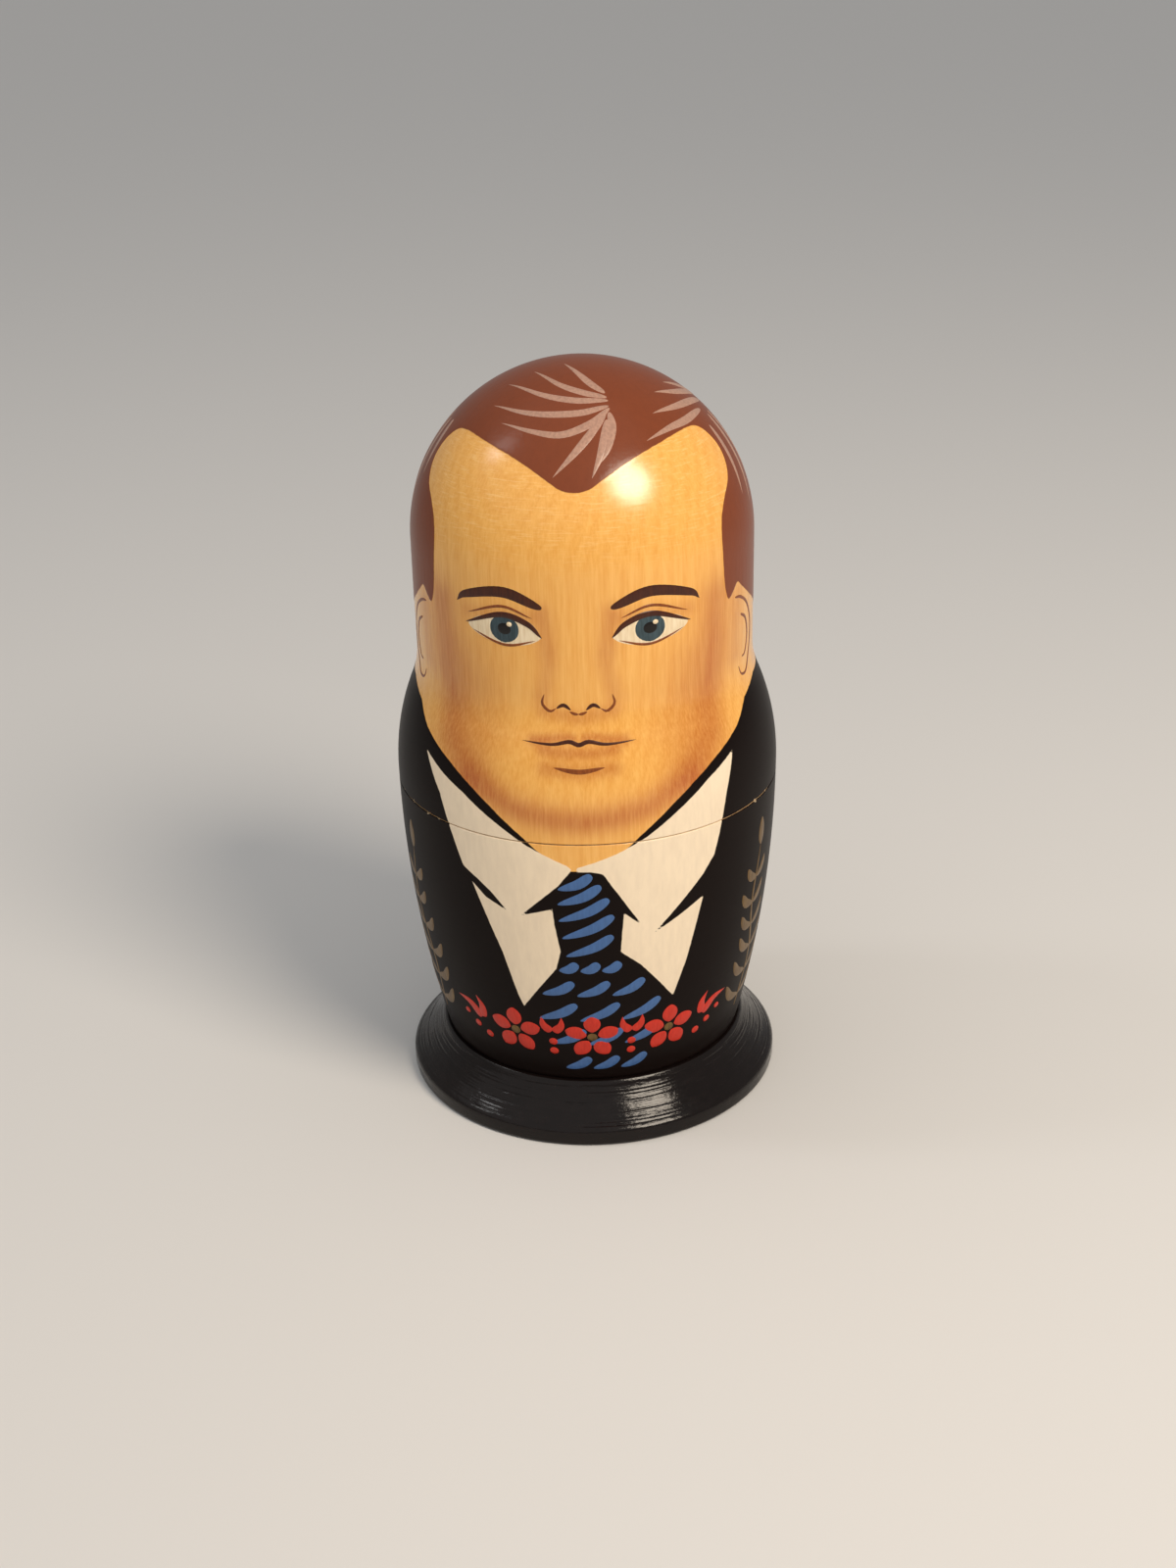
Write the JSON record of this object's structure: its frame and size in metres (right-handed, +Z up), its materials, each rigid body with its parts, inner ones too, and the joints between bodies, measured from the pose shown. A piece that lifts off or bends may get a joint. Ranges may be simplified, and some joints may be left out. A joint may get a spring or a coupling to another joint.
{
  "type": "nesting doll",
  "caption": "Turned wooden nesting doll on a round plinth: each hollow doll parts at a lipped seam and holds a smaller doll, down to a solid one.",
  "frame": {"origin": "centre of the plinth's underside, where the doll stands", "axes": "+Z up along the axis on which every piece is turned, -Y to the front, which the painted face looks along, +X to the viewer's right"},
  "size_m": [0.0568, 0.0568, 0.11],
  "materials": {
    "plinth_lacquer": "black gloss lacquer over turned, unsanded lime wood",
    "suit_lacquer": "black, cream and blue brush paint under gloss varnish, on turned lime wood",
    "head_varnish": "amber gloss varnish on bare lime wood, with brown brush-painted hair"
  },
  "bodies": {
    "outer_bottom": {"plinth": "plinth_lacquer", "outer_bottom": "suit_lacquer"},
    "outer_top": {"outer_top": "head_varnish"},
    "second_bottom": {"second_bottom": "suit_lacquer"},
    "second_top": {"second_top": "head_varnish"},
    "third_bottom": {"third_bottom": "suit_lacquer"},
    "third_top": {"third_top": "head_varnish"},
    "fourth_bottom": {"fourth_bottom": "suit_lacquer"},
    "fourth_top": {"fourth_top": "head_varnish"},
    "innermost_doll": {"innermost_doll": "head_varnish"}
  },
  "joints": [
    {"name": "outer_lift", "type": "slide", "parent": "outer_bottom", "child": "outer_top", "axis": [0, 0, 1], "range_m": [0, 0.31]},
    {"name": "second_rise", "type": "slide", "parent": "outer_bottom", "child": "second_bottom", "axis": [0, 0, 1], "range_m": [0, 0.0496]},
    {"name": "second_lift", "type": "slide", "parent": "second_bottom", "child": "second_top", "axis": [0, 0, 1], "range_m": [0, 0.2077]},
    {"name": "third_rise", "type": "slide", "parent": "second_bottom", "child": "third_bottom", "axis": [0, 0, 1], "range_m": [0, 0.0434]},
    {"name": "third_lift", "type": "slide", "parent": "third_bottom", "child": "third_top", "axis": [0, 0, 1], "range_m": [0, 0.124]},
    {"name": "fourth_rise", "type": "slide", "parent": "third_bottom", "child": "fourth_bottom", "axis": [0, 0, 1], "range_m": [0, 0.0341]},
    {"name": "fourth_lift", "type": "slide", "parent": "fourth_bottom", "child": "fourth_top", "axis": [0, 0, 1], "range_m": [0, 0.0558]},
    {"name": "innermost_rise", "type": "slide", "parent": "fourth_bottom", "child": "innermost_doll", "axis": [0, 0, 1], "range_m": [0, 0.0279]}
  ],
  "couplings": [
    {"joint": "second_rise", "follows": "outer_lift", "ratio": 0.16},
    {"joint": "second_lift", "follows": "outer_lift", "ratio": 0.67},
    {"joint": "third_rise", "follows": "outer_lift", "ratio": 0.14},
    {"joint": "third_lift", "follows": "outer_lift", "ratio": 0.4},
    {"joint": "fourth_rise", "follows": "outer_lift", "ratio": 0.11},
    {"joint": "fourth_lift", "follows": "outer_lift", "ratio": 0.18},
    {"joint": "innermost_rise", "follows": "outer_lift", "ratio": 0.09}
  ]
}
